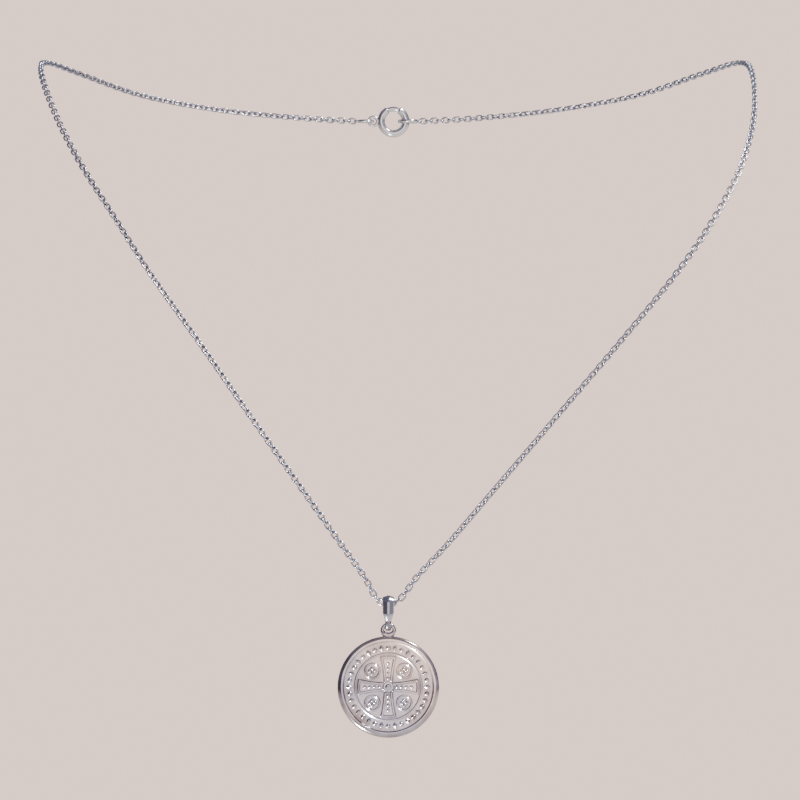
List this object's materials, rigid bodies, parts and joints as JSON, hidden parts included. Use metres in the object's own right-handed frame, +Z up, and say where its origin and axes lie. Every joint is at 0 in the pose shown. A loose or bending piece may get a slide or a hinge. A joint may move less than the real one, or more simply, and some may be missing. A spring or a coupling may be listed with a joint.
{
  "type": "religious medal pendant necklace",
  "caption": "Round silver medal with a raised cross, hung by an ear and a long bail on a fine cable chain with a spring ring clasp, as worn round a neck",
  "frame": {"origin": "middle of the neck at the height where the chain lies on the shoulders, level with the neck's centre line", "axes": "+Z up, -Y to the wearer's front where the medal hangs, +X to the wearer's left"},
  "size_m": [0.1317, 0.1026, 0.1246],
  "materials": {
    "chain_silver": "drawn silver wire, polished in the links",
    "clasp_silver": "polished silver",
    "bail_silver": "polished silver with fine wear",
    "medal_silver": "struck silver, satin ground, polished rim and relief"
  },
  "bodies": {
    "root": {"chain": "chain_silver", "clasp": "clasp_silver", "jump_ring": "clasp_silver", "end_ring": "clasp_silver"},
    "bail": {"bail": "bail_silver"},
    "medal": {"medal": "medal_silver"}
  },
  "joints": [
    {"name": "bail_swing", "type": "hinge", "parent": "root", "child": "bail", "pos_m": [0, -0.065, -0.098], "axis": [1, 0, 0], "range_deg": [-75, 75]},
    {"name": "medal_swing", "type": "hinge", "parent": "bail", "child": "medal", "pos_m": [0, -0.065, -0.1016], "axis": [1, 0, 0], "range_deg": [-60, 60]}
  ]
}
